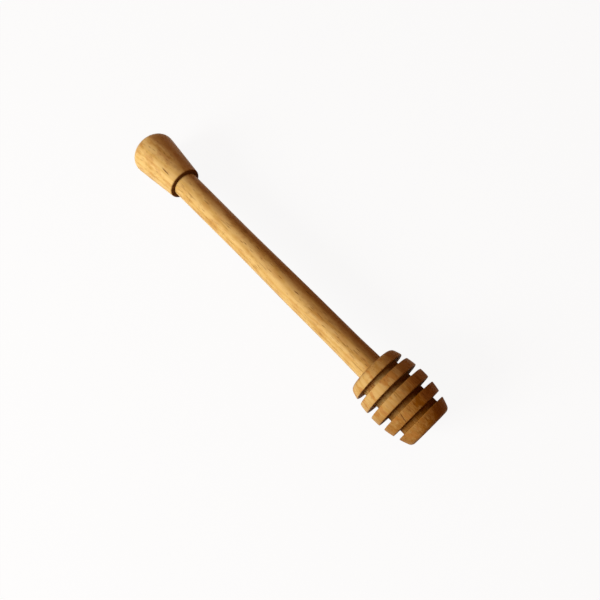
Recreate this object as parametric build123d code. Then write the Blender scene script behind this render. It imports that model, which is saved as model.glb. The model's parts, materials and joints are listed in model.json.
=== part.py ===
from build123d import *
import math
import os

# Honey dipper: a turned wooden knob, a slim turned handle and a ringed head, glued end to end.
# It lies on a flat surface as it would on a table, with its head towards +X.
# Sizes are in millimetres. A station is a distance along the dipper from the knob's far end.

# Knob: the grip that the fingers roll
knob_length = 25.0
knob_end_diameter = 19.7
knob_rim_diameter = 14.1
knob_end_radius = 4.6
knob_rim_radius = 0.5

# Handle: the slim spindle between the knob and the head, shoulder to shoulder
handle_length = 106.9
handle_top_diameter = 10.6
handle_waist_diameter = 10.2
handle_swell_diameter = 10.5
handle_neck_diameter = 10.35
handle_foot_diameter = 10.7
handle_edge_break = 0.2
waist_share = 0.34
swell_share = 0.66
neck_share = 0.88

# Tenons: the turned pegs on the handle's ends, and the glue room left round them
knob_tenon_diameter = 6.0
knob_tenon_length = 13.0
head_tenon_diameter = 6.0
head_tenon_length = 15.0
tenon_chamfer = 0.6
glue_gap = 0.05
socket_end_gap = 0.6

# Head: a barrel-shaped blank with square grooves turned between its rings
head_diameter = 24.6
barrel_curve_radius = 37.0
barrel_station = 12.9
groove_count = 4
groove_width = 2.05
groove_core_diameter = 16.2
first_ring_length = 4.15
ring_length = 3.85
last_ring_length = 4.6
shoulder_radius = 2.0
end_corner_radius = 1.9
ring_edge_break = 0.25

# A round corner is turned as a chain of narrow flats, which cut at most this far inside its arc.
corner_flat_depth = 0.06

# The tilt at which the dipper rests is found in this many steps, each far finer than the last.
settling_steps = 4

# Stations where the three pieces meet
handle_start = knob_length
head_start = handle_start + handle_length
head_length = (first_ring_length + groove_count * groove_width
               + (groove_count - 1) * ring_length + last_ring_length)
dipper_length = head_start + head_length


def corner_of(section, point):
    """The section's vertex that lies nearest to a point."""
    return section.vertices().sort_by_distance(point)[0]


def flats_for(arc):
    """The chain of narrow flats that stands in for a round corner."""
    widest_flat = 2 * math.acos(1 - corner_flat_depth / arc.radius)
    count = math.ceil(arc.length / arc.radius / widest_flat)
    return Polyline(*[arc @ (number / count) for number in range(count + 1)]).edges()


def turned(section):
    """Turn a half section, drawn above the X axis, into a solid about that axis."""
    outline = []
    for edge in section.edges():
        is_corner = edge.geom_type == GeomType.CIRCLE and edge.radius <= knob_end_radius
        outline += flats_for(edge) if is_corner else [edge]
    return revolve(make_face(outline), Axis.X)


def socket(mouth_station, tenon_diameter, tenon_length, inward):
    """The blind hole for a tenon, bored from a shoulder face towards inward, +1 or -1 along X."""
    depth = tenon_length + socket_end_gap
    middle = mouth_station + inward * depth / 2
    return Pos(middle, 0, 0) * Rot(0, 90, 0) * Cylinder(tenon_diameter / 2 + glue_gap, depth)


def knob():
    """Tapered grip: flat end with a well rounded edge, straight taper and flat underside."""
    end_corner = (0, knob_end_diameter / 2)
    rim_corner = (knob_length, knob_rim_diameter / 2)
    section = make_face(Polyline((0, 0), end_corner, rim_corner, (knob_length, 0), (0, 0)))
    section = fillet(corner_of(section, end_corner), knob_end_radius)
    section = fillet(corner_of(section, rim_corner), knob_rim_radius)
    return turned(section) - socket(handle_start, knob_tenon_diameter, knob_tenon_length, -1)


def handle():
    """Spindle of two shallow coves that meet at a swell, with a tenon beyond each shoulder."""
    knob_peg = knob_tenon_diameter / 2
    head_peg = head_tenon_diameter / 2
    peg_start = handle_start - knob_tenon_length
    peg_end = head_start + head_tenon_length
    top = (handle_start + handle_edge_break, handle_top_diameter / 2)
    waist = (handle_start + waist_share * handle_length, handle_waist_diameter / 2)
    swell = (handle_start + swell_share * handle_length, handle_swell_diameter / 2)
    neck = (handle_start + neck_share * handle_length, handle_neck_diameter / 2)
    foot = (head_start - handle_edge_break, handle_foot_diameter / 2)
    upper_shoulder = Polyline(
        (peg_start, 0),
        (peg_start, knob_peg - tenon_chamfer),
        (peg_start + tenon_chamfer, knob_peg),
        (handle_start, knob_peg),
        (handle_start, handle_top_diameter / 2 - handle_edge_break),
        top,
    )
    coves = ThreePointArc(top, waist, swell) + ThreePointArc(swell, neck, foot)
    lower_shoulder = Polyline(
        foot,
        (head_start, handle_foot_diameter / 2 - handle_edge_break),
        (head_start, head_peg),
        (peg_end - tenon_chamfer, head_peg),
        (peg_end, head_peg - tenon_chamfer),
        (peg_end, 0),
        (peg_start, 0),
    )
    return turned(make_face(upper_shoulder + coves + lower_shoulder))


def barrel_radius(station):
    """Radius of the head's barrel curve at a distance from the head's first face."""
    run = station - barrel_station
    return head_diameter / 2 - barrel_curve_radius + math.sqrt(barrel_curve_radius**2 - run**2)


def groove_stations():
    """Where each groove starts, from the head's first face."""
    pitch = ring_length + groove_width
    return [first_ring_length + number * pitch for number in range(groove_count)]


def dipper_head():
    """Ringed head: barrel blank, grooves down to a plain core, and eased ring edges."""
    first_corner = (head_start, barrel_radius(0))
    last_corner = (dipper_length, barrel_radius(head_length))
    widest = (head_start + barrel_station, head_diameter / 2)
    barrel = ThreePointArc(first_corner, widest, last_corner)
    faces = Polyline(last_corner, (dipper_length, 0), (head_start, 0), first_corner)
    section = make_face(barrel + faces)
    section = fillet(corner_of(section, first_corner), shoulder_radius)
    section = fillet(corner_of(section, last_corner), end_corner_radius)

    core = groove_core_diameter / 2
    for start in groove_stations():
        cut_top = head_diameter / 2 + groove_width
        middle = (head_start + start + groove_width / 2, (core + cut_top) / 2)
        section -= Pos(*middle) * Rectangle(groove_width, cut_top - core)
    for start in groove_stations():
        for wall in (start, start + groove_width):
            rim = (head_start + wall, barrel_radius(wall))
            section = chamfer(corner_of(section, rim), ring_edge_break)
    return turned(section) - socket(head_start, head_tenon_diameter, head_tenon_length, 1)


def lowest(solid, tilt):
    """Height of a solid's lowest point once the dipper is tilted."""
    return (Rot(0, -tilt, 0) * solid).bounding_box().min.Z


def resting_tilt(knob_solid, head_solid):
    """The angle in degrees at which the knob and the widest ring both touch the table."""
    contact_span = head_start + barrel_station - knob_end_radius
    tilt = 0
    for _ in range(settling_steps):
        drop = lowest(head_solid, tilt) - lowest(knob_solid, tilt)
        tilt -= math.degrees(math.atan2(drop, contact_span))
    return tilt


def main():
    pieces = {"knob": knob(), "handle": handle(), "dipper_head": dipper_head()}
    tilt = resting_tilt(pieces["knob"], pieces["dipper_head"])
    lying = Rot(0, -tilt, 0)
    box = Compound([lying * piece for piece in pieces.values()]).bounding_box()
    place = Pos(-box.center().X, 0, -box.min.Z) * lying

    os.makedirs("parts", exist_ok=True)
    for name, piece in pieces.items():
        placed = place * piece
        placed.label = name
        export_step(placed, f"parts/{name}.step")

    end_centre = (place * Pos(dipper_length, 0, 0)).position
    print(f"tilt {tilt:.4f} degrees, end face centre {tuple(end_centre)}")
    grip_centre = (place * Pos(handle_start + handle_length / 2, 0, 0)).position
    print(f"handle centre {tuple(grip_centre)}, length {dipper_length}")


main()
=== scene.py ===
import json
import math

import bpy
from mathutils import Matrix, Vector, noise


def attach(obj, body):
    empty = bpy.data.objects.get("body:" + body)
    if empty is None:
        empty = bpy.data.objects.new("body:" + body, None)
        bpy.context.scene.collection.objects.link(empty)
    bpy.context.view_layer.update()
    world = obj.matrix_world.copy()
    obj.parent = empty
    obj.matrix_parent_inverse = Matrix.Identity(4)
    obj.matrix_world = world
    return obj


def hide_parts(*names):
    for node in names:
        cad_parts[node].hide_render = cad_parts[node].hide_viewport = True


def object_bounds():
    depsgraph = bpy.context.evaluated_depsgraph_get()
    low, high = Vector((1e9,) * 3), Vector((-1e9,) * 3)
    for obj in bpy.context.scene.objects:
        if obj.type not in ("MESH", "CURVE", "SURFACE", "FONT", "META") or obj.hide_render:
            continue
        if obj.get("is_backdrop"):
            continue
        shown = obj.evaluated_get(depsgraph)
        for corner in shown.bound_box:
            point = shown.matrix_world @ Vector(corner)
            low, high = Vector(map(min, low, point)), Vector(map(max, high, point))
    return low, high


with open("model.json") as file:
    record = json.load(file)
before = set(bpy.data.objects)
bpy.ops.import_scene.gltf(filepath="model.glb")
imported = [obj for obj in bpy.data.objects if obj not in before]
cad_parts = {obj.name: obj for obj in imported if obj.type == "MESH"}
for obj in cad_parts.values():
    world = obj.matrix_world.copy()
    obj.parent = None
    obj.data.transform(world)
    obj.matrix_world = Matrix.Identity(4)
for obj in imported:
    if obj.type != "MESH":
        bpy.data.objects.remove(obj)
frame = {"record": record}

cad_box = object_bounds()

# Honey dipper, lying on a pale table with its head towards +X. Each turned piece is made about
# its own X axis, where x is the station: the distance from the knob's far end.
mm = 0.001

# Sizes of the turned pieces, the same as the frame's
knob_length = 25.0 * mm
knob_end_radius = 9.83 * mm
knob_rim_radius = 7.05 * mm
knob_end_rounding = 4.6 * mm
knob_rim_rounding = 0.5 * mm
knob_crown = 0.35 * mm
knob_belly = 0.04 * mm

handle_length = 106.9 * mm
handle_shares = (0.0, 0.34, 0.66, 0.88, 1.0)
handle_radii = (5.3 * mm, 5.1 * mm, 5.25 * mm, 5.175 * mm, 5.35 * mm)
shoulder_break = 0.2 * mm

peg_radius = 3.0 * mm
knob_peg_length = 13.0 * mm
head_peg_length = 15.0 * mm
peg_chamfer = 0.6 * mm
socket_radius = 3.05 * mm
socket_end_gap = 0.6 * mm
socket_margin = 0.01 * mm
end_margin = 1.0 * mm

head_radius = 12.3 * mm
barrel_curve_radius = 37.0 * mm
barrel_station = 12.9 * mm
core_radius = 8.1 * mm
ring_lengths = (4.15 * mm, 3.85 * mm, 3.85 * mm, 3.85 * mm, 4.6 * mm)
groove_width = 2.05 * mm
head_shoulder_rounding = 2.0 * mm
head_end_rounding = 1.9 * mm
ring_rounding = 0.28 * mm
core_rounding = 0.3 * mm

handle_start = knob_length
head_start = handle_start + handle_length
head_length = sum(ring_lengths) + groove_width * (len(ring_lengths) - 1)
dipper_length = head_start + head_length

# How finely the pieces are turned, and how uneven hand sanding leaves them
outline_step = 0.5 * mm
arc_step = math.radians(15)
sharp_angle = math.radians(40)
unevenness = 0.05 * mm
unevenness_length = 15.0 * mm
ripple = 0.012 * mm
ripple_length = 4.5 * mm
seed_step = 3.7

# Painted shade in the recesses: how far it spreads from a joint, and how much a place takes
joint_reach = 0.5 * mm
head_joint_shade = 0.5
groove_shade = 0.45

# The tree that the wood comes from. Its pith runs beside the dipper, at a distance in y and z
# from the axis, and the growth rings wander about it. Across the dipper, from one y to
# another, the pale sapwood turns into redder heartwood, which also stands for painted shade
# on the far (+y) side.
shaded_heart_edge = (-6.0 * mm, 3.0 * mm)
pith_y = 20.0 * mm
pith_z = 31.0 * mm
growth_ring_width = 2.1 * mm
ring_wander = 9.0 * mm
late_wood_sharpness = 2.2

# The oiled surface: how glossy it is, how deep its grain is, and how far single pores waver
gloss = 0.2
relief_depth = 0.06 * mm
relief_strength = 0.6
pore_waver = 0.3 * mm

# Single dark pores and checks: station and angle round the axis of both ends, half width
# and darkness
knob_marks = ((16.2, 117, 22.1, 121, 0.28, 0.95), (8.0, 99, 10.5, 99, 0.2, 0.5),
              (12.0, 84, 14.4, 85, 0.22, 0.5))
handle_marks = (
    (29.0, 88, 31.0, 87, 0.20, 0.5), (32.0, 96, 34.0, 96, 0.18, 0.5),
    (38.8, 96, 42.9, 94, 0.20, 0.7), (49.0, 106, 55.4, 103, 0.18, 0.5),
    (52.0, 98, 56.0, 96, 0.18, 0.5), (63.3, 105, 66.1, 103, 0.22, 0.7),
    (68.4, 76, 71.1, 78, 0.22, 0.7),
    (73.5, 132, 77.6, 137, 0.18, 0.6), (77.9, 113, 81.4, 110, 0.18, 0.6),
    (62.0, 111, 64.8, 109, 0.18, 0.6), (120.0, 105, 121.8, 108, 0.18, 0.6),
    (83.0, 101, 86.3, 101, 0.20, 0.6), (91.8, 100, 95.2, 98, 0.26, 0.8),
    (94.2, 64, 99.3, 61, 0.26, 0.7), (108.1, 120, 111.2, 117, 0.20, 0.6),
    (115.4, 110, 117.2, 108, 0.20, 0.6), (129.3, 110, 131.6, 107, 0.20, 0.6),
)
head_marks = (
    (138.4, 102, 139.8, 103, 0.22, 0.4), (140.2, 84, 141.7, 86, 0.22, 0.4),
    (143.9, 107, 146.4, 108, 0.22, 0.45), (149.2, 121, 154.6, 129, 0.32, 0.9),
    (150.4, 72, 152.8, 73, 0.22, 0.4), (156.6, 98, 158.3, 99, 0.26, 0.5),
)

# Where the dipper lies: its axis ends in the middle of the head's flat end
end_mount = next(m for m in frame["record"]["mounts"] if m["name"] == "end_face")
axis = Vector(end_mount["axis"]).normalized()
axis_start = Vector(end_mount["pos_m"]) - axis * dipper_length
across = Vector((0, 1, 0))
lying = Matrix((axis, across, axis.cross(across))).transposed().to_4x4()
lying.translation = axis_start


# Outlines

def barrel_radius(station):
    """Radius of the head's barrel curve at a distance from the head's first face."""
    run = station - barrel_station
    return head_radius - barrel_curve_radius + math.sqrt(barrel_curve_radius**2 - run**2)


def corner_arc(before, corner, after, radius):
    """Points of the arc that rounds a corner of an outline."""
    before, corner, after = Vector(before), Vector(corner), Vector(after)
    back = (before - corner).normalized()
    on = (after - corner).normalized()
    half = back.angle(on) / 2
    reach = radius / math.tan(half)
    centre = corner + (back + on).normalized() * radius / math.sin(half)
    spoke = corner + back * reach - centre
    turn = math.pi - 2 * half
    if back.cross(on) > 0:
        turn = -turn
    steps = max(2, math.ceil(abs(turn) / arc_step))
    return [centre + Matrix.Rotation(turn * n / steps, 2) @ spoke for n in range(steps + 1)]


def outline_of(corners):
    """An outline's points from its corners, each (x, radius from the axis, rounding)."""
    places = [Vector(corner[:2]) for corner in corners]
    turned = [places[0]]
    for number in range(1, len(corners) - 1):
        rounding = corners[number][2]
        here = places[number - 1:number + 2]
        turned += corner_arc(*here, rounding) if rounding else [here[1]]
    turned.append(places[-1])
    points = [turned[0]]
    for start, end in zip(turned, turned[1:]):
        steps = max(1, math.ceil((end - start).length / outline_step))
        points += [start.lerp(end, (n + 1) / steps) for n in range(steps)]
    return points


def ring_radius(x):
    """Radius of the rings' outer surface at a station along the dipper."""
    return barrel_radius(x - head_start)


def knob_radius(x):
    """Radius of the knob's straight taper."""
    return knob_end_radius + (knob_rim_radius - knob_end_radius) * x / knob_length


def knob_outline():
    """From the middle of the crowned end round to the bottom of the socket."""
    depth = knob_length - knob_peg_length - socket_end_gap
    points = outline_of([
        (0, 0, 0),
        (0, knob_end_radius, knob_end_rounding),
        (knob_length, knob_rim_radius, knob_rim_rounding),
        (knob_length, socket_radius, 0),
        (depth, socket_radius, 0),
        (depth, 0, 0),
    ])
    for point in points:
        along = min(max(point.x / knob_length, 0), 1)
        if point.y > socket_radius:
            point.y += knob_belly * 4 * along * (1 - along)
            point.x += knob_crown * (point.y / knob_end_radius) ** 2 * (1 - along) ** 4
        elif point.x < depth / 2:
            point.x += knob_crown * (point.y / knob_end_radius) ** 2
    return points


def handle_radius(x):
    """Radius of the spindle: smooth runs between its top, waist, swell, neck and foot."""
    share = (x - handle_start) / handle_length
    for number in range(len(handle_shares) - 1):
        start, end = handle_shares[number:number + 2]
        if share <= end or end == handle_shares[-1]:
            t = min(max((share - start) / (end - start), 0), 1)
            ease = t * t * (3 - 2 * t)
            return handle_radii[number] * (1 - ease) + handle_radii[number + 1] * ease


def handle_outline():
    """From the tip of the knob's peg along the spindle to the tip of the head's peg."""
    first_tip = handle_start - knob_peg_length
    last_tip = head_start + head_peg_length
    points = outline_of([
        (first_tip, 0, 0),
        (first_tip, peg_radius - peg_chamfer, 0),
        (first_tip + peg_chamfer, peg_radius, 0),
        (handle_start, peg_radius, 0),
        (handle_start, handle_radii[0], shoulder_break),
        (head_start, handle_radii[-1], shoulder_break),
        (head_start, peg_radius, 0),
        (last_tip - peg_chamfer, peg_radius, 0),
        (last_tip, peg_radius - peg_chamfer, 0),
        (last_tip, 0, 0),
    ])
    for point in points:
        if point.y > handle_radii[1]:
            share = (point.x - handle_start) / handle_length
            straight = handle_radii[0] * (1 - share) + handle_radii[-1] * share
            point.y += handle_radius(point.x) - straight
    return points


def ring_walls():
    """The first and last station of each ring, from the head's first face."""
    walls, start = [], 0
    for length in ring_lengths:
        walls.append((start, start + length))
        start += length + groove_width
    return walls


def head_outline():
    """From the bottom of the socket over the rings and grooves to the middle of the end."""
    depth = head_start + head_peg_length + socket_end_gap
    corners = [(depth, 0, 0), (depth, socket_radius, 0), (head_start, socket_radius, 0)]
    walls = ring_walls()
    for first, last in walls:
        at_shoulder = (first, last) == walls[0]
        at_end = (first, last) == walls[-1]
        if not at_shoulder:
            corners.append((head_start + first, core_radius, core_rounding))
        corners.append((head_start + first, barrel_radius(first),
                        head_shoulder_rounding if at_shoulder else ring_rounding))
        corners.append((head_start + last, barrel_radius(last),
                        head_end_rounding if at_end else ring_rounding))
        if not at_end:
            corners.append((head_start + last, core_radius, core_rounding))
    corners.append((dipper_length, 0, 0))
    points = outline_of(corners)
    for point in points:
        for first, last in walls:
            station = point.x - head_start
            if first < station < last and point.y > core_radius:
                t = (station - first) / (last - first)
                chord = barrel_radius(first) * (1 - t) + barrel_radius(last) * t
                point.y += barrel_radius(station) - chord
    return points


# Meshes

def sanding(x, angle, radius, seed):
    """How far hand sanding has taken the surface in at a place, always inwards."""
    place = Vector((x, radius * math.cos(angle), radius * math.sin(angle)))
    broad = noise.noise(place / unevenness_length + Vector((seed, 0, 0)))
    fine = noise.noise(place / ripple_length + Vector((0, seed, 0)))
    return unevenness * (broad - 1) / 2 + ripple * (fine - 1) / 2


def recess_shade_at(x, radius):
    """How much painted shade a place takes: 1 under the knob, less in a groove, 0 in the open.
    """
    if x > head_start + joint_reach:
        full = barrel_radius(min(x - head_start, head_length))
        if x > dipper_length - ring_lengths[-1] / 2:
            return 0
        return groove_shade * min(max((full - radius) / (full - core_radius), 0), 1)
    under_knob = 1 - abs(x - knob_length) / joint_reach
    at_head = 1 - abs(x - head_start) / joint_reach
    if radius > handle_radii[-1] + joint_reach:
        at_head = 0
    return max(under_knob, at_head * head_joint_shade, 0)


def rim_at(x, radius):
    """1 on the rims of the rings and the knob, where handling polishes them, else 0."""
    places = [(knob_length, knob_rim_radius, knob_rim_rounding)]
    for first, last in ring_walls():
        places.append((head_start + first, barrel_radius(first), 2 * ring_rounding))
        places.append((head_start + last, barrel_radius(last), 2 * ring_rounding))
    nearest = min(math.hypot(x - px, radius - pr) / reach for px, pr, reach in places)
    return min(max(1.5 - nearest, 0), 1)


def turned_piece(name, outline, segments, hidden, seed):
    """A closed mesh turned from an outline that starts and ends on the axis.

    Its OFBake map unrolls the outside: round the piece in u, along the outline in v. hidden(x,
    radius) says which surfaces are inside a joint, and these get little of the map.
    """
    verts, spans = [], [0.0]
    for start, end in zip(outline, outline[1:]):
        share = 0.1 if hidden(*((start + end) / 2)) else 1.0
        spans.append(spans[-1] + share * (end - start).length)
    heights = [span / spans[-1] for span in spans]
    for x, radius in outline[1:-1]:
        for number in range(segments):
            angle = 2 * math.pi * number / segments
            r = radius
            if not hidden(x, radius):
                r += sanding(x, angle, radius, seed) * min(1, radius / peg_radius)
            verts.append((x, r * math.cos(angle), r * math.sin(angle)))
    rows = len(outline) - 2
    first_pole, last_pole = len(verts), len(verts) + 1
    verts += [(outline[0].x, 0, 0), (outline[-1].x, 0, 0)]

    faces, corners_uv = [], []
    for number in range(segments):
        after = (number + 1) % segments
        left, right = number / segments, (number + 1) / segments
        faces.append((first_pole, after, number))
        corners_uv += [((left + right) / 2, heights[0]), (right, heights[1]), (left, heights[1])]
        for row in range(rows - 1):
            low, high = row * segments, (row + 1) * segments
            faces.append((low + number, low + after, high + after, high + number))
            bottom, top = heights[row + 1], heights[row + 2]
            corners_uv += [(left, bottom), (right, bottom), (right, top), (left, top)]
        last = (rows - 1) * segments
        faces.append((last + number, last + after, last_pole))
        corners_uv += [(left, heights[-2]), (right, heights[-2]), ((left + right) / 2, 1)]

    mesh = bpy.data.meshes.new(name)
    mesh.from_pydata([lying @ Vector(vert) for vert in verts], [], faces)
    mesh.uv_layers.new(name="OFBake")
    mesh.uv_layers["OFBake"].data.foreach_set("uv", [value for uv in corners_uv for value in uv])
    # The first mask is painted shade in the grooves, under the knob and at the head's joint; the
    # second marks the polished rims
    for mask, measure in (("recess_shade", recess_shade_at), ("rim", rim_at)):
        values = [measure(x, radius) for x, radius in outline[1:-1] for _ in range(segments)]
        layer = mesh.attributes.new(mask, "FLOAT", "POINT")
        layer.data.foreach_set("value", values + [0.0, 0.0])
    mesh.shade_smooth()
    mesh.set_sharp_from_angle(angle=sharp_angle)
    mesh.validate()
    piece = bpy.data.objects.new(name, mesh)
    bpy.context.scene.collection.objects.link(piece)
    return piece


# Shading

class Value:
    """A socket of a shading. Arithmetic on it adds Math nodes."""

    def __init__(self, shading, socket):
        self.shading, self.socket = shading, socket

    def beside(self, output):
        """Another output of the same node."""
        return Value(self.shading, self.socket.node.outputs[output])

    def maths(self, operation, *others):
        return self.shading.node("ShaderNodeMath", {"operation": operation},
                                 dict(enumerate((self, *others))))

    def __add__(self, other):
        return self.maths("ADD", other)

    def __sub__(self, other):
        return self.maths("SUBTRACT", other)

    def __mul__(self, other):
        return self.maths("MULTIPLY", other)

    def __rsub__(self, other):
        return self.maths("MULTIPLY_ADD", -1.0, other)

    __radd__ = __add__
    __rmul__ = __mul__

    def between(self, low, high):
        """0 below low, 1 above high and a smooth step between them; low may be the larger."""
        return self.shading.node("ShaderNodeMapRange", {"interpolation_type": "SMOOTHSTEP"},
                                 {"Value": self, "From Min": low, "From Max": high})


class Shading:
    """The node tree of a finish or of the studio, with one method that adds any node."""

    def __init__(self, owner):
        owner.use_nodes = True
        self.tree = owner.node_tree
        self.tree.nodes.clear()

    def node(self, kind, settings=None, sockets=None, output=0):
        """Add a node: its settings first, then its sockets' values or links."""
        made = self.tree.nodes.new(kind)
        for name, setting in (settings or {}).items():
            setattr(made, name, setting)
        for name, value in (sockets or {}).items():
            if isinstance(value, Value):
                self.tree.links.new(value.socket, made.inputs[name])
            else:
                made.inputs[name].default_value = value
        return Value(self, made.outputs[output]) if made.outputs else None

    def mix(self, first, second, share):
        """Colours mixed by a share; the Mix node's colour sockets are 6 and 7, its result 2."""
        return self.node("ShaderNodeMix", {"data_type": "RGBA"},
                         {0: share, 6: first, 7: second}, 2)

    def cells(self, place, along, around):
        """Coordinates in cells so many millimetres long with the grain and wide across it."""
        scale = (1 / (along * mm), 1 / (around * mm), 1 / (around * mm))
        return self.node("ShaderNodeVectorMath", {"operation": "MULTIPLY"}, {0: place, 1: scale})

    def shown_as(self, shader, shown):
        """A shader, with another shown to rays from the camera and off gloss or glass."""
        path = self.node("ShaderNodeLightPath", output="Is Camera Ray")
        seen = path.maths("MAXIMUM", path.beside("Is Glossy Ray"))
        seen = seen.maths("MAXIMUM", path.beside("Is Transmission Ray"))
        return self.node("ShaderNodeMixShader", None, {0: seen, 1: shader, 2: shown})


def colour(red, green, blue):
    """A colour as it looks on screen, 0 to 255, as the linear values that nodes take."""
    def linear(level):
        level /= 255
        return level / 12.92 if level <= 0.04045 else ((level + 0.055) / 1.055) ** 2.4
    return (linear(red), linear(green), linear(blue), 1)


# Finishes

pale_gold = colour(234, 203, 133)
mid_gold = colour(204, 165, 82)
amber = colour(178, 124, 42)
orange_brown = colour(180, 110, 44)
red_brown = colour(134, 80, 8)
pore_brown = colour(96, 50, 14)
# The colour below is painted shade, for the grooves and the knob's underside
groove_shade_brown = colour(84, 40, 2)
gloss_tint = colour(255, 214, 146)


def turned_wood(name, shift, grain_share, pore_share, reddening_and_shade, patches, radius_at, marks):
    """Oiled, sanded hardwood: growth rings, broad figure, fibres, dark pores and end grain.

    shift moves the piece to its own part of the tree. grain_share is how strongly fibres and
    streaks show, pore_share how many pores there are, and patches how strongly warm patches
    show. reddening_and_shade is (first x, last x, sapwood side, heartwood side): how a piece
    turns redder and darker along its length, each side from one share to another. On the far
    (+y) heartwood side this redder, darker wood is also painted shade. The redder wood is also
    duller. marks are the single dark pores that stand out, and radius_at gives the surface
    that they lie on.
    """
    material = bpy.data.materials.new(name)
    wood = Shading(material)
    node, mix = wood.node, wood.mix
    in_frame = node("ShaderNodeTexCoord", output="Object")
    coordinates = node("ShaderNodeMapping", {"vector_type": "TEXTURE"}, {
        "Vector": in_frame, "Location": axis_start, "Rotation": lying.to_euler(),
    })
    place = node("ShaderNodeVectorMath", {"operation": "ADD"}, {0: coordinates, 1: shift})

    def grain(along, around, detail, roughness=0.5):
        return node("ShaderNodeTexNoise", {"noise_dimensions": "3D"}, {
            "Vector": wood.cells(place, along, around), "Scale": 1.0,
            "Detail": detail, "Roughness": roughness,
        }, "Fac")

    figure = grain(42, 6.5, 2)
    cloud = grain(16, 4.0, 3)
    bloom = grain(5.0, 2.6, 2)
    streak = grain(14, 1.1, 2)
    fibre = grain(5.5, 0.34, 3, 0.6)
    fuzz = grain(1.6, 0.14, 2, 0.6)
    wobble = grain(4.5, 2.4, 1)
    facets = node("ShaderNodeTexVoronoi", {"voronoi_dimensions": "3D"}, {
        "Vector": wood.cells(place, 16, 2.8), "Scale": 1.0, "Randomness": 1.0,
    }, "Distance")

    across_y = node("ShaderNodeSeparateXYZ", None, {0: place}, "Y")
    bend = (grain(60, 14, 1) - 0.5) * ring_wander
    from_pith_y = across_y + pith_y + bend
    from_pith_z = across_y.beside("Z") + pith_z + bend * 0.6
    distance = (from_pith_y * from_pith_y + from_pith_z * from_pith_z).maths("SQRT")
    wave = (distance * (2 * math.pi / growth_ring_width)).maths("SINE")
    rings = (wave * 0.5 + 0.5).maths("POWER", late_wood_sharpness)

    def dashes(along, around, share, crowding):
        """Short dark pores that run with the grain, crowded where crowding is high."""
        found = node("ShaderNodeTexVoronoi", {"voronoi_dimensions": "3D"}, {
            "Vector": wood.cells(place, along, around), "Scale": 1.0, "Randomness": 1.0,
        }, "Distance")
        chance = node("ShaderNodeSeparateColor", None, {0: found.beside("Color")}, "Red")
        return (crowding * share - chance).between(0.0, 0.02) * found.between(0.42, 0.2)

    def mark(first_x, first_angle, last_x, last_angle, half_width, darkness):
        """A single dark pore from one place on the surface to another, fading at its ends."""
        ends = []
        for x, angle in ((first_x * mm, first_angle), (last_x * mm, last_angle)):
            turn = math.radians(angle)
            r = radius_at(x)
            ends.append(Vector((x, r * math.cos(turn), r * math.sin(turn))))
        run = ends[1] - ends[0]
        within = node("ShaderNodeMapping", {"vector_type": "TEXTURE"}, {
            "Vector": wavering, "Location": (ends[0] + ends[1]) / 2,
            "Rotation": run.to_track_quat("X", "Z").to_euler(),
            "Scale": (run.length / 2, half_width * mm, half_width * mm),
        })
        reach = node("ShaderNodeVectorMath", {"operation": "LENGTH"}, {0: within}, "Value")
        return reach.between(1.0, 0.4) * darkness

    crowding = cloud.between(0.36, 0.62)
    fine_pores = dashes(2.6, 0.24, pore_share * 2.2, crowding)
    pores = dashes(4.6, 0.34, pore_share, crowding)
    long_pores = dashes(8.5, 0.42, pore_share * 0.35, figure.between(0.42, 0.6))

    waver = node("ShaderNodeTexNoise", {"noise_dimensions": "3D"},
                 {"Vector": wood.cells(place, 1.4, 1.4), "Scale": 1.0, "Detail": 1.0}, "Color")
    waver = node("ShaderNodeVectorMath", {"operation": "MULTIPLY_ADD"},
                 {0: waver, 1: (0, pore_waver, pore_waver),
                  2: (0, -pore_waver / 2, -pore_waver / 2)})
    wavering = node("ShaderNodeVectorMath", {"operation": "ADD"}, {0: coordinates, 1: waver})
    single_pores = 0.0
    for ends in marks:
        single_pores = mark(*ends) + single_pores

    facing = node("ShaderNodeVectorMath", {"operation": "DOT_PRODUCT"},
                  {0: node("ShaderNodeTexCoord", output="Normal"), 1: axis}, "Value")
    end_grain = facing.maths("ABSOLUTE").between(0.75, 0.97)
    recess_shade = node("ShaderNodeAttribute", {"attribute_name": "recess_shade"}, None, "Fac")
    rim = node("ShaderNodeAttribute", {"attribute_name": "rim"}, None, "Fac")
    # Redder, darker wood: on the far (+y) side it is also painted shade, and along each piece it
    # darkens from one station to another
    darker_from, darkest_at, sapwood, shaded_heartwood = reddening_and_shade
    along_axis = node("ShaderNodeSeparateXYZ", None, {0: coordinates}, "X")
    onwards = along_axis.between(darker_from, darkest_at)
    sap, shaded_heart = [onwards * (most - least) + least for least, most in (sapwood, shaded_heartwood)]
    redder_wood_and_shade = sap + (shaded_heart - sap) * along_axis.beside("Y").between(*shaded_heart_edge)

    tone = mix(pale_gold, mid_gold, rings * 0.4 + figure * 0.45)
    tone = mix(tone, amber, cloud.between(0.46, 0.72) * 0.5)
    tone = mix(tone, amber, streak.between(0.50, 0.74) * (0.4 * grain_share))
    tone = mix(tone, amber, fibre.between(0.48, 0.78) * (0.6 * grain_share))
    tone = mix(tone, orange_brown, bloom.between(0.52, 0.61) * patches)
    tone = mix(tone, pale_gold, bloom.between(0.48, 0.34) * 0.35)
    tone = mix(tone, red_brown, end_grain * 0.4 + rim * 0.10)
    # The redder wood and painted shade stay mottled, so that they don't turn into one flat brown
    mottle = bloom.between(0.36, 0.64) * 0.6 + fibre.between(0.36, 0.64) * 0.4
    tone = mix(tone, red_brown, redder_wood_and_shade * (1.0 - redder_wood_and_shade * (mottle - 0.56) * 0.8))
    tone = mix(tone, pore_brown, end_grain * rings * 0.5)
    dark_pores = fine_pores * 0.45 + pores * 0.55 + long_pores * 0.45
    tone = mix(tone, pore_brown, dark_pores.maths("MINIMUM", 0.8))
    tone = mix(tone, pore_brown, single_pores.maths("MINIMUM", 0.9))
    # Painted shade: the grooves, the knob's underside and the head's joint darken to a deep
    # brown
    tone = mix(tone, groove_shade_brown, recess_shade * 0.8)

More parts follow.
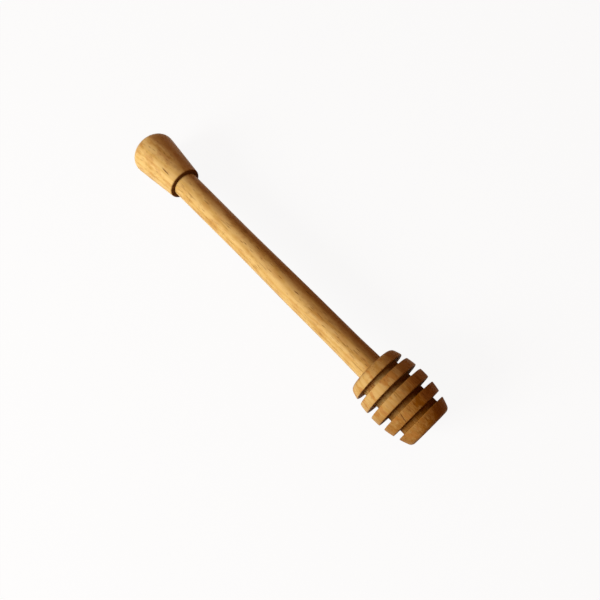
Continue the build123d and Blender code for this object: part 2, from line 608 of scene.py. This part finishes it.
    roughness = 0.43 + redder_wood_and_shade * 0.28 + (fibre - 0.5) * 0.2 + pores * 0.2
    roughness = roughness + recess_shade * 0.7 - rim * 0.04
    relief = wobble * 2.5 + facets * 4.0 + fibre * 0.4 + fuzz * 0.25 - dark_pores * 0.25
    bump = node("ShaderNodeBump", None,
                {"Strength": relief_strength, "Distance": relief_depth, "Height": relief})
    shader = node("ShaderNodeBsdfPrincipled", None, {
        "Base Color": tone, "Roughness": roughness, "Normal": bump,
        "Specular IOR Level": gloss, "Specular Tint": gloss_tint,
    })
    node("ShaderNodeOutputMaterial", None, {"Surface": shader})
    return material


# The pieces

def inside_joint(x, radius):
    """The sockets, and the pegs and shoulders of the handle that they hold."""
    within_socket = radius <= socket_radius + socket_margin
    return within_socket and end_margin < x < dipper_length - end_margin


# Each piece's name, the CAD node that it replaces, its slot, its outline, how many faces go
# round it, and its wood
pieces = (
    ("knob_turned", "knob", "knob_wood", knob_outline(), 176, {
        "shift": (0.375, 0.004, -0.0006), "grain_share": 0.3, "pore_share": 0.16,
        "reddening_and_shade": (0.0, knob_length, (0.0, 0.03), (0.22, 0.31)),
        "patches": 0.3, "radius_at": knob_radius, "marks": knob_marks,
    }),
    ("handle_turned", "handle", "handle_wood", handle_outline(), 144, {
        "shift": (0.0, 0.0, 0.0), "grain_share": 0.5, "pore_share": 0.3,
        "reddening_and_shade": (handle_start, head_start, (0.0, 0.07), (0.24, 0.56)),
        "patches": 0.2, "radius_at": handle_radius, "marks": handle_marks,
    }),
    ("head_turned", "dipper_head", "head_wood", head_outline(), 208, {
        "shift": (0.424, 0.0084, -0.0016), "grain_share": 0.35, "pore_share": 0.16,
        "reddening_and_shade": (head_start + 5 * mm, head_start + 22 * mm, (0.26, 0.72), (0.62, 0.95)),
        "patches": 0.55, "radius_at": ring_radius, "marks": head_marks,
    }),
)
for number, (name, node_name, slot_name, outline, faces_round, wood) in enumerate(pieces):
    piece = turned_piece(name, outline, faces_round, inside_joint, seed_step * number)
    piece.data.materials.append(turned_wood(slot_name, **wood))
    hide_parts(node_name)
    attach(piece, "root")


# Table, light and camera

table_reach = 3.0
table_glow = 0.92
table_mesh = bpy.data.meshes.new("table")
table_mesh.from_pydata([(-table_reach, -table_reach, 0), (table_reach, -table_reach, 0),
                        (table_reach, table_reach, 0), (-table_reach, table_reach, 0)],
                       [], [(0, 1, 2, 3)])
table = bpy.data.objects.new("table", table_mesh)
bpy.context.scene.collection.objects.link(table)
table_paint = bpy.data.materials.new("table_paint")
paint = Shading(table_paint)
matt = paint.node("ShaderNodeBsdfDiffuse", None, {"Color": colour(152, 112, 74)})
white_matt = paint.node("ShaderNodeBsdfDiffuse", None, {"Color": colour(250, 250, 250)})
white_glow = paint.node("ShaderNodeEmission", None, {"Color": colour(255, 255, 255)})
shown = paint.node("ShaderNodeMixShader", None, {0: table_glow, 1: white_matt, 2: white_glow})
paint.node("ShaderNodeOutputMaterial", None, {"Surface": paint.shown_as(matt, shown)})
table_mesh.materials.append(table_paint)
table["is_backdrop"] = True

fill_level = 0.23
studio_world = bpy.data.worlds.new("studio")
bpy.context.scene.world = studio_world
studio = Shading(studio_world)
fill = studio.node("ShaderNodeBackground", None,
                   {"Color": colour(255, 168, 98), "Strength": fill_level})
backdrop = studio.node("ShaderNodeBackground", None, {"Color": colour(255, 255, 255)})
studio.node("ShaderNodeOutputWorld", None, {"Surface": studio.shown_as(fill, backdrop)})


def softbox(name, direction, distance, width, height, level):
    """A soft rectangular lamp aimed at the dipper; level 1 lights white paint to plain white."""
    lamp = bpy.data.lights.new(name, "AREA")
    lamp.shape = "RECTANGLE"
    lamp.size, lamp.size_y = width, height
    lamp.energy = level * math.pi**2 * distance**2
    place = Vector(direction).normalized() * distance
    holder = bpy.data.objects.new(name, lamp)
    holder.matrix_world = (Matrix.Translation(place)
                           @ (-place).to_track_quat("-Z", "Y").to_matrix().to_4x4())
    bpy.context.scene.collection.objects.link(holder)


softbox("key_light", (-0.19, -0.88, 0.42), distance=0.8, width=0.35, height=0.30, level=1.12)

camera_place = Vector((72.41, -51.27, 214.75)) * mm
camera_look = Vector((-0.2653, 0.2331, -0.9356)).normalized()
camera_up = Vector((-0.6837, 0.6387, 0.3530))
lens = bpy.data.cameras.new("camera")
lens.sensor_width = 36.0
lens.lens = 34.74
lens.clip_start = 5 * mm
camera = bpy.data.objects.new("camera", lens)
right = camera_look.cross(camera_up).normalized()
aimed = Matrix((right, right.cross(camera_look), -camera_look)).transposed().to_4x4()
aimed.translation = camera_place
camera.matrix_world = aimed
bpy.context.scene.collection.objects.link(camera)
bpy.context.scene.camera = camera
bpy.context.scene.view_settings.view_transform = "Standard"

boxes = [[list(corner) for corner in box] for box in (cad_box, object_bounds())]
